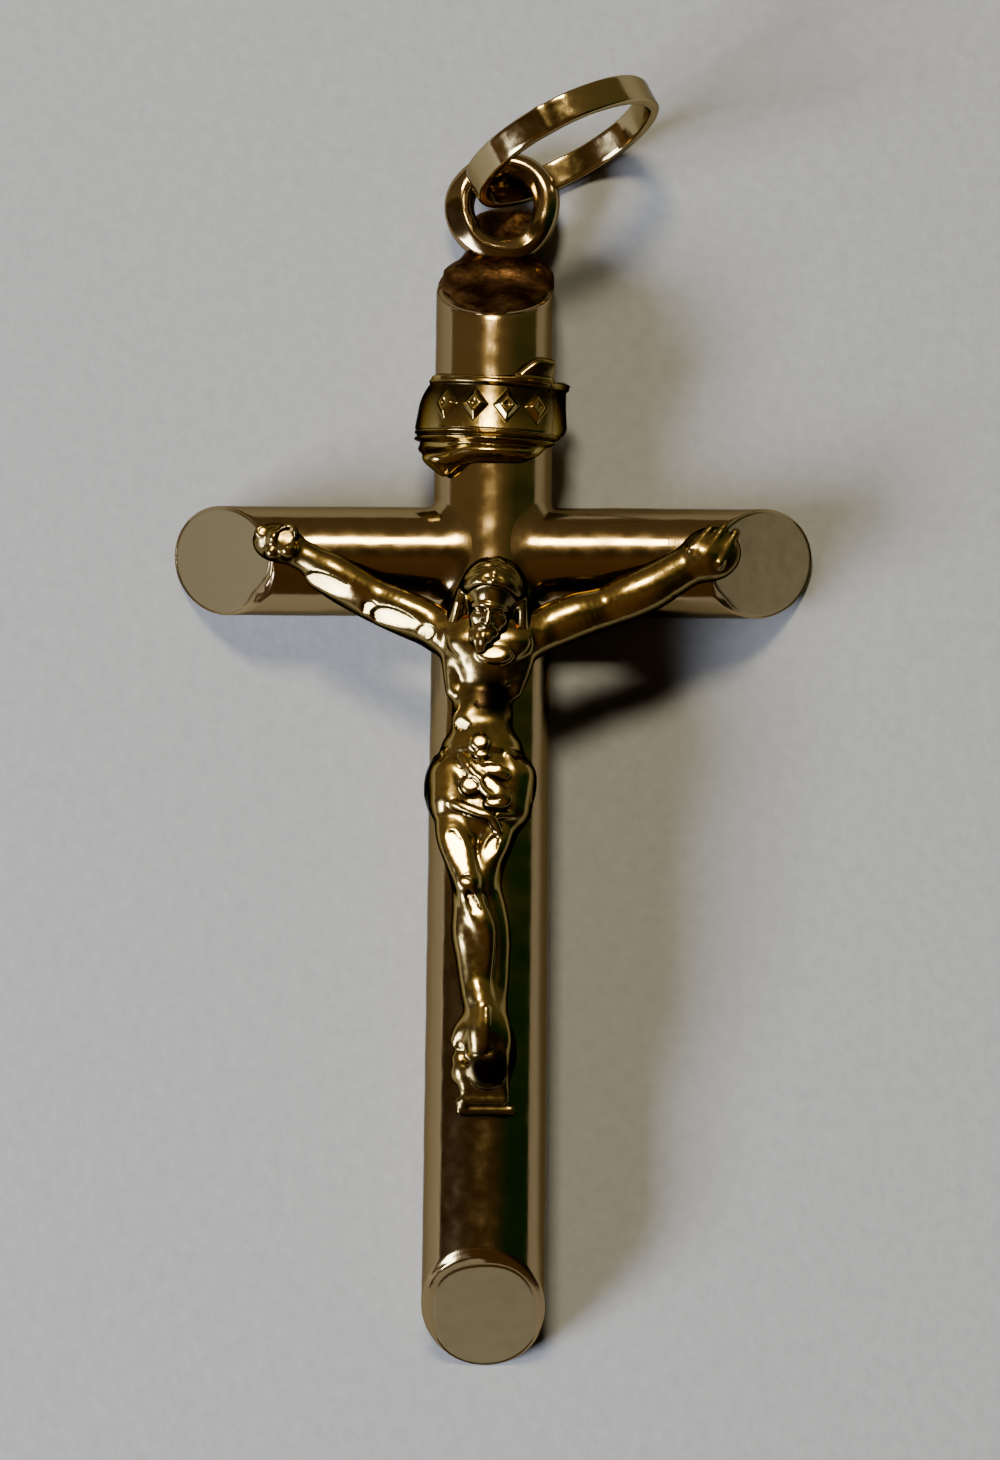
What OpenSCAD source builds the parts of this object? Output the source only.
// Crucifix pendant: two crossed round gold tubes with slanted flat ends, a cast corpus, a wrapped scroll,
// a soldered eye and a flat jump ring. It lies on its back: X along the arms, +Y to the top of the stem,
// +Z out of the front. Millimetres. The origin is under the middle of the whole, on the surface it lies on.

/* [Tubes] */
// Diameter of the stem tube
stem_d = 3.4; // [3:0.05:4]
// Diameter of the cross arms' tube
arm_d = 3.12; // [2.6:0.02:3.3]
// Wall of both tubes and of their end plates
wall = 0.3; // [0.15:0.01:0.6]
// Length of the stem below the axis of the arms, to its lower tip
stem_below = 22.65; // [20:0.05:28]
// Length of the stem above the axis of the arms, to its upper tip
stem_above = 9.5; // [8:0.05:12]
// Length of each arm from the axis of the stem to its tip
arm_reach = 9.25; // [8.5:0.05:12]
// Slant of the four cut ends, measured from a square cut
facet_tilt = 38; // [20:1:45]

/* [Eye] */
// Diameter of the eye's wire
eye_wire_d = 0.64; // [0.5:0.01:0.75]
// Diameter of the eye's hole
eye_hole_d = 1.72; // [1.6:0.02:2.4]
// Distance from the stem's upper tip to the middle of the eye
eye_ahead = 1.735; // [1.5:0.005:2.2]
// Height of the eye's middle above the surface that the pendant lies on
eye_height = 1.05; // [0.9:0.01:1.3]
// How far the eye was soldered to the right of the stem's axis
eye_side = 0.15; // [-0.3:0.01:0.3]
// Diameter of the solder neck where it leaves the stem
neck_root_d = 1.9; // [1.4:0.02:2]
// Diameter of the solder neck where it meets the eye
neck_tip_d = 0.9; // [0.66:0.02:1.3]

/* [Jump ring] */
// Outer diameter of the jump ring
ring_d = 5.9; // [5:0.05:7]
// Width of its flat strip, along the ring's own axis
ring_w = 0.85; // [0.6:0.01:0.95]
// Thickness of its flat strip
ring_t = 0.3; // [0.2:0.01:0.4]
// Direction in which the ring lies, turned from the arms towards the top of the stem
ring_turn = 27.3; // [0:0.1:60]
// Lean of the ring from upright
ring_lean = 2.4; // [0:0.1:8]
// How far the strip sits off the middle of the eye's hole, along the ring's own axis
ring_shift = 0.1; // [0:0.01:0.12]

/* [Corpus] */
// Length of the figure from the crown of the head to the lower edge of the foot block
figure_len = 15.56; // [13:0.02:17]
// Distance from the axis of the arms down to the crown of the head
crown_drop = 0.62; // [0:0.02:1.5]
// Distance between the middles of the two palms
palm_span = 12.6; // [11:0.1:14]
// Width of the chest at the armpits
chest_w = 3.2; // [2.6:0.02:3.8]
// Thickness of an upper arm
limb_d = 1.1; // [0.8:0.02:1.3]
// How far the chest stands proud of the stem
relief = 1.5; // [1:0.02:2]
// Width of the head with its hair
head_w = 2.1; // [1.7:0.02:2.4]
// Width of the foot block
block_w = 1.78; // [1.4:0.02:2.2]

/* [Scroll] */
// Thickness of the scroll
scroll_t = 0.5; // [0.3:0.01:0.8]
// Height of the scroll between its two straight edges
scroll_h = 1.77; // [1.3:0.01:2.4]
// Distance from the axis of the arms up to the middle of the scroll
scroll_up = 3.93; // [3.4:0.01:4.6]
// Tilt of the scroll, down to the right
scroll_tilt = 3; // [0:0.5:8]
// How far round the stem each side of the scroll reaches, from the front
scroll_wrap = 92; // [60:1:110]
// Size of its two curled corners
curl_d = 1.5; // [0.8:0.05:1.8]
// Width of the raised rims along its edges
rim_w = 0.13; // [0.08:0.01:0.25]
// How far the rims and the ornament stand proud
rim_h = 0.09; // [0.05:0.01:0.2]

/* [Fits] */
// Gap between the castings and the tubes that they lie on
seat_gap = 0.03; // [0.02:0.005:0.06]

/* [Hidden] */
$fn = 96;

gold = "#c9a24a";
pale_gold = "#d3b566";

stem_r = stem_d / 2;
arm_r = arm_d / 2;
far = 60;

// The eye and the ring
eye_r = (eye_hole_d + eye_wire_d) / 2;
eye_y = stem_above + eye_ahead;
ring_r = ring_d / 2;
ring_mid_r = ring_r - ring_t / 2;
ring_axis = [-cos(ring_lean) * sin(ring_turn), cos(ring_lean) * cos(ring_turn), sin(ring_lean)];
ring_along = [cos(ring_turn), sin(ring_turn), 0];
// The ring rests on the lower edge of its strip
ring_z = ring_r * cos(ring_lean) + ring_w / 2 * sin(ring_lean);
// From the middle of the ring to the place where its strip passes through the eye
ring_step = sqrt(pow(ring_mid_r, 2) - pow(ring_z - eye_height, 2));
ring_at = [
    eye_side + ring_step * ring_along[0] - ring_shift * sin(ring_turn),
    eye_y + ring_step * ring_along[1] + ring_shift * cos(ring_turn),
    ring_z];
ring_top_y = ring_at[1] + ring_r * sqrt(1 - pow(ring_axis[1], 2)) + ring_w / 2 * abs(ring_axis[1]);

// The origin is under the middle of the whole length
middle_y = (ring_top_y - stem_below) / 2;

// The figure: a place along it is a share of figure_len from the crown, a height is a share of relief
function along(share) = -crown_drop - share * figure_len;
function proud(share) = stem_d + share * relief;

// Sections of the trunk from the neck to the hem: along, shift and half width as shares of chest_w,
// height in front as a share of relief, depth below that height as a share of the stem's diameter
TRUNK = [
    // along, shift, half,  front, depth
    [0.095, 0.00, 0.20, 0.25, 0.30],
    [0.120, 0.00, 0.43, 0.55, 0.42],
    [0.150, 0.00, 0.50, 0.80, 0.55],
    [0.185, 0.00, 0.49, 0.96, 0.60],
    [0.215, 0.00, 0.46, 1.00, 0.60],
    [0.238, 0.00, 0.42, 0.84, 0.54],
    [0.275, 0.00, 0.37, 0.68, 0.46],
    [0.312, -0.01, 0.33, 0.66, 0.42],
    [0.340, -0.02, 0.36, 0.76, 0.45],
    [0.365, -0.03, 0.42, 0.92, 0.52],
    [0.400, -0.02, 0.49, 0.95, 0.62],
    [0.440, 0.00, 0.50, 0.98, 0.64],
    [0.480, 0.00, 0.49, 0.93, 0.60],
    [0.510, 0.00, 0.44, 0.80, 0.50]];

// Sections of a leg from the hip to the ankle, in the same shares
LEFT_LEG = [
    // along, shift, half,  front, depth
    [0.440, -0.21, 0.24, 0.80, 0.50],
    [0.500, -0.20, 0.24, 0.95, 0.50],
    [0.560, -0.17, 0.21, 1.05, 0.46],
    [0.615, -0.13, 0.17, 1.10, 0.45],
    [0.650, -0.11, 0.17, 0.95, 0.42],
    [0.700, -0.09, 0.17, 0.82, 0.38],
    [0.750, -0.06, 0.13, 0.66, 0.32],
    [0.800, -0.01, 0.10, 0.60, 0.30],
    [0.830, 0.00, 0.09, 0.55, 0.28]];
RIGHT_LEG = [
    [0.440, 0.21, 0.24, 0.76, 0.50],
    [0.500, 0.18, 0.24, 0.88, 0.50],
    [0.560, 0.14, 0.20, 0.98, 0.46],
    [0.610, 0.12, 0.17, 1.02, 0.45],
    [0.650, 0.13, 0.16, 0.85, 0.42],
    [0.700, 0.12, 0.16, 0.70, 0.38],
    [0.750, 0.08, 0.12, 0.56, 0.32],
    [0.800, 0.03, 0.10, 0.50, 0.30],
    [0.830, 0.02, 0.09, 0.46, 0.28]];

// Joints of an arm from the shoulder to the wrist: out as a share of half palm_span, drop below the axis of
// the arms as a share of arm_d, height of its middle above the arms' tube and thickness as shares of limb_d
ARM = [
    // out,  drop,  height, thick
    [0.20, 0.86, 0.10, 1.10],
    [0.30, 0.76, 0.05, 1.05],
    [0.42, 0.64, 0.00, 0.98],
    [0.56, 0.50, 0.00, 0.92],
    [0.70, 0.31, 0.08, 0.86],
    [0.84, 0.12, 0.18, 0.72],
    [0.93, 0.02, 0.24, 0.62]];
// Fingers of an open hand: turn from straight out, length and thickness as shares of limb_d
FINGERS = [
    // turn, length, thick
    [62, 0.50, 0.22],
    [30, 0.66, 0.20],
    [14, 0.72, 0.20],
    [-2, 0.70, 0.20],
    [-18, 0.58, 0.18]];

// Folds of the loincloth: turn from straight across, place of the middle along the figure, then shift,
// length and thickness as shares of chest_w
FOLDS = [
    // turn, along, shift, length, thick
    [-9, 0.356, -0.01, 0.78, 0.19],
    [-36, 0.400, -0.01, 0.80, 0.21],
    [-23, 0.386, 0.14, 0.46, 0.17],
    [-31, 0.442, -0.13, 0.52, 0.20],
    [-17, 0.476, 0.00, 0.92, 0.20]];

// Steps of the foot block: top and bottom along the figure, width as a share of block_w, height as a share
// of relief
STEPS = [
    // from, to,    width, height
    [0.878, 0.951, 0.88, 0.50],
    [0.944, 0.978, 0.96, 0.34],
    [0.972, 1.000, 1.00, 0.20]];
// Feet: shift of the toes as a share of chest_w, height of the middle as a share of relief, place of the
// toes along the figure, turn
FEET = [
    // shift, height, toes, turn
    [-0.07, 0.50, 0.915, -6],
    [0.08, 0.44, 0.905, 10]];

SIDES = 16;
BALL_SIDES = 10;
SEAT_SIDES = 40;

// Half-space cutter of a slanted end: everything past the plane through the tip [reach, -r], moved in by inset
module past_end(reach, r, inset) {
    translate([reach, 0, -r]) rotate([0, -facet_tilt, 0]) translate([-inset, -far / 2, -far / 2])
        cube([far, far, far]);
}

// A rod along X with two slanted ends that face the front
module slanted_rod(r, tip_r, left, right, inset) {
    difference() {
        translate([-left, 0, 0]) rotate([0, 90, 0]) cylinder(h = left + right, r = r);
        past_end(right, tip_r, inset);
        mirror([1, 0, 0]) past_end(left, tip_r, inset);
    }
}

module stem_rod(r, inset) {
    rotate([0, 0, 90]) slanted_rod(r, stem_r, stem_below, stem_above, inset);
}

module arm_rod(r, inset) {
    slanted_rod(r, arm_r, arm_reach, arm_reach, inset);
}

// Ring of round wire in the plane of the table, soldered to the upper end by a neck
module eye() {
    neck_from = stem_above - eye_height * tan(facet_tilt) - wall;
    neck_to = eye_y - eye_r;
    translate([eye_side, eye_y, eye_height]) rotate_extrude()
        translate([eye_r, 0]) circle(d = eye_wire_d);
    translate([eye_side, neck_from, eye_height]) rotate([-90, 0, 0])
        cylinder(h = neck_to - neck_from, d1 = neck_root_d, d2 = neck_tip_d);
}

// Both tubes, their end plates, the neck and the eye are soldered into one piece, hollow inside
module cross() {
    color(gold) translate([0, -middle_y, 0]) difference() {
        union() {
            translate([0, 0, stem_r]) {
                stem_rod(stem_r, 0);
                arm_rod(arm_r, 0);
            }
            eye();
        }
        translate([0, 0, stem_r]) {
            stem_rod(stem_r - wall, wall);
            arm_rod(arm_r - wall, wall);
        }
    }
}

// The strip ring, standing in the eye and leaning a little
module jump_ring() {
    color(pale_gold) translate(ring_at - [0, middle_y, 0]) rotate([0, 0, ring_turn])
        rotate([ring_lean - 90, 0, 0]) rotate_extrude()
            translate([ring_r - ring_t, -ring_w / 2]) square([ring_t, ring_w]);
}

// Closed skin through rings of points, each ring with the same number of points
module skin(rings) {
    n = len(rings[0]);
    last = len(rings) - 1;
    polyhedron(
        points = [for (ring = rings) each ring],
        faces = concat(
            [[for (j = [0:n - 1]) j]],
            [for (i = [0:last - 1], j = [0:n - 1])
                each [[i * n + j, (i + 1) * n + j, i * n + (j + 1) % n],
                      [i * n + (j + 1) % n, (i + 1) * n + j, (i + 1) * n + (j + 1) % n]]],
            [[for (j = [n - 1:-1:0]) last * n + j]]));
}

// Oval section across the figure, from a table row
function section(row) = [for (j = [0:SIDES - 1])
    let (a = 360 * j / SIDES, half = row[2] * chest_w, half_depth = row[4] * stem_d / 2)
    [row[1] * chest_w + half * cos(a), along(row[0]), proud(row[3]) - half_depth + half_depth * sin(a)]];

module body_part(table) {
    skin([for (row = table) section(row)]);
}

module ball(at, size, turn = 0) {
    translate(at) rotate([0, 0, turn]) scale(size) rotate([90, 0, 0]) sphere(d = 1, $fn = BALL_SIDES);
}

// Middle of an arm joint on the right side, from a table row
function arm_joint(row) = [
    row[0] * palm_span / 2, -row[1] * arm_d, stem_r + arm_r + (row[2] + 0.1) * limb_d];

// Right arm as a chain of rounded stretches, then an open hand with its nail
module arm_and_hand() {
    palm = [palm_span / 2, 0.02 * arm_d, stem_r + arm_r + 0.3 * limb_d];
    for (i = [0:len(ARM) - 2]) hull() {
        ball(arm_joint(ARM[i]), ARM[i][3] * limb_d * [1, 1, 1]);
        ball(arm_joint(ARM[i + 1]), ARM[i + 1][3] * limb_d * [1, 1, 1]);
    }
    hull() {
        ball(arm_joint(ARM[len(ARM) - 1]), 0.58 * limb_d * [1, 1, 1]);
        ball(palm, limb_d * [0.75, 0.82, 0.5]);
    }
    for (f = FINGERS) hull() {
        ball(palm + 0.22 * limb_d * [cos(f[0]), sin(f[0]), 0], f[2] * limb_d * [1, 1, 1.2]);
        ball(palm + f[1] * limb_d * [cos(f[0]), sin(f[0]), -0.12], f[2] * limb_d * [1, 1, 1.1]);
    }
    ball(palm + limb_d * [0, 0, 0.24], limb_d * [0.34, 0.34, 0.22]);
}

// Head bowed on the chest, with hair to the shoulders and a short beard
module head() {
    skull = [-0.03 * head_w, -crown_drop - 0.5 * head_w, proud(0.62)];
    face = skull + [0.06, -0.30, 0.22] * head_w;
    // Skull and hair
    ball(skull, head_w * [0.9, 1, 0.9], 8);
    // Neck, cast solid down to the chest
    hull() {
        ball(skull + [0, -0.3, -0.08] * head_w, head_w * [0.74, 0.6, 0.6]);
        ball([0, along(0.185), proud(0.56)], chest_w * [0.6, 0.3, 0.22]);
    }
    // Locks that fall to both shoulders
    for (side = [-1, 1]) hull() {
        ball(skull + [side * 0.28, 0.04, 0] * head_w, head_w * [0.44, 0.6, 0.5]);
        ball(skull + [side * 0.36, -0.66, -0.1] * head_w, head_w * [0.3, 0.5, 0.42]);
    }
    // Face, nose and brow
    ball(face, head_w * [0.52, 0.84, 0.48], 6);
    hull() {
        ball(face + [0.01, 0.1, 0.18] * head_w, head_w * 0.1 * [1, 1, 1]);
        ball(face + [0.02, -0.1, 0.25] * head_w, head_w * 0.13 * [1, 1, 1]);
    }
    // Beard
    hull() {
        ball(face + [0.02, -0.26, 0.06] * head_w, head_w * [0.44, 0.34, 0.36]);
        ball(face + [0.05, -0.56, 0.06] * head_w, head_w * [0.26, 0.26, 0.28]);
    }
}

// Flat muscles of the chest and the arch under the ribs
module chest_relief() {
    for (side = [-1, 1]) {
        ball([side * 0.22 * chest_w, along(0.185), proud(0.55)], [0.5 * chest_w, 0.5 * chest_w, relief]);
        hull() {
            ball([side * 0.05 * chest_w, along(0.222), proud(0.78)], 0.12 * chest_w * [1, 1, 1]);
            ball([side * 0.32 * chest_w, along(0.252), proud(0.5)], 0.12 * chest_w * [1, 1, 1]);
        }
    }
}

// Height of the loincloth's skin at a distance from the middle line
function cloth_height(x) = proud(0.95) - 0.3 * stem_d * (1 - sqrt(max(0, 1 - pow(x / (0.52 * chest_w), 2))));

// Diagonal folds that follow the skin of the loincloth, and its bunched end
module cloth_relief() {
    for (f = FOLDS) {
        spots = [for (t = [-1:0.5:1])
            let (x = f[2] * chest_w + t * f[3] / 2 * chest_w * cos(f[0]))
            [x, along(f[1]) + t * f[3] / 2 * chest_w * sin(f[0]), cloth_height(x) - 0.25 * f[4] * chest_w]];
        for (i = [0:len(spots) - 2]) hull() {
            ball(spots[i], f[4] * chest_w * [1, 1, 1]);
            ball(spots[i + 1], f[4] * chest_w * [1, 1, 1]);
        }
    }
    ball([-0.12 * chest_w, along(0.425), cloth_height(0)], relief * [0.46, 0.42, 0.4]);
}

// Two crossed feet on the block
module feet() {
    for (f = FEET) {
        hull() {
            ball([0.01 * chest_w, along(0.815), proud(f[1] - 0.1)], relief * [0.36, 0.4, 0.46]);
            ball([f[0] * chest_w / 2, along(0.86), proud(f[1] + 0.06)], relief * [0.4, 0.4, 0.48]);
        }
        hull() {
            ball([f[0] * chest_w / 2, along(0.86), proud(f[1] + 0.06)], relief * [0.4, 0.4, 0.48]);
            ball([f[0] * chest_w, along(f[2]), proud(f[1])], relief * [0.5, 0.42, 0.26], f[3]);
        }
    }
}

// Stepped block under the feet
module foot_block() {
    corner = 0.12 * relief;
    for (s = STEPS) hull() for (side = [-1, 1], y = [along(s[0]) - corner, along(s[1]) + corner])
        translate([side * (s[2] * block_w / 2 - corner), y, stem_r])
            cylinder(h = proud(s[3]) - stem_r, r = corner, $fn = BALL_SIDES);
}

// Space of the tubes, with the seat gap, that the castings are hollowed by
module tube_space() {
    translate([0, 0, stem_r]) {
        rotate([90, 0, 0]) cylinder(h = far, r = stem_r + seat_gap, center = true, $fn = SEAT_SIDES);
        rotate([0, 90, 0]) cylinder(h = far, r = arm_r + seat_gap, center = true, $fn = SEAT_SIDES);
    }
}

// The cast figure, hollowed at the back to lie on the tubes
module corpus() {
    color(gold) translate([0, -middle_y, 0]) difference() {
        union() {
            body_part(TRUNK);
            body_part(LEFT_LEG);
            body_part(RIGHT_LEG);
            arm_and_hand();
            mirror([1, 0, 0]) arm_and_hand();
            head();
            chest_relief();
            cloth_relief();
            feet();
            foot_block();
        }
        tube_space();
    }
}

// Part of a tube wall round the stem, within the scroll's wrap
module scroll_shell(inner, outer, from, to) {
    rotate([90, 0, 0]) translate([0, 0, -to]) rotate([0, 0, 90 - scroll_wrap])
        rotate_extrude(angle = 2 * scroll_wrap) translate([inner, 0]) square([outer - inner, to - from]);
}

// Parchment wrapped round the front of the stem, with two curled corners, raised rims and plain lozenges
module scroll() {
    inner = stem_r + seat_gap;
    outer = inner + scroll_t;
    half = scroll_h / 2;
    corner = outer * sin(45);
    color(pale_gold) translate([0, scroll_up - middle_y, stem_r]) difference() {
        rotate([0, 0, -scroll_tilt]) {
            scroll_shell(stem_r / 2, outer, -half, half);
            // Rims: one along the top edge and two along the lower edge
            for (y = [half - rim_w, rim_w - half, -half - rim_w])
                scroll_shell(stem_r / 2, outer + rim_h, y, y + rim_w);
            // Curled corners
            intersection() {
                scroll_shell(stem_r / 2, outer, -scroll_h, scroll_h);
                union() {
                    translate([-corner, -half, 0]) cylinder(h = far, d = curl_d);
                    translate([corner, half - curl_d * 0.1, 0]) cylinder(h = far, d = curl_d);
                }
            }
            // A row of plain lozenges
            intersection() {
                scroll_shell(stem_r / 2, outer + rim_h, -half, half);
                for (i = [-1.5:1:1.5]) translate([i * outer * 0.38, 0, 0]) rotate([0, 0, 45])
                    translate([-scroll_h / 9, -scroll_h / 9, 0]) cube([scroll_h / 4.5, scroll_h / 4.5, far]);
            }
        }
        rotate([90, 0, 0]) cylinder(h = far, r = inner, center = true);
    }
}

cross();
corpus();
scroll();
jump_ring();
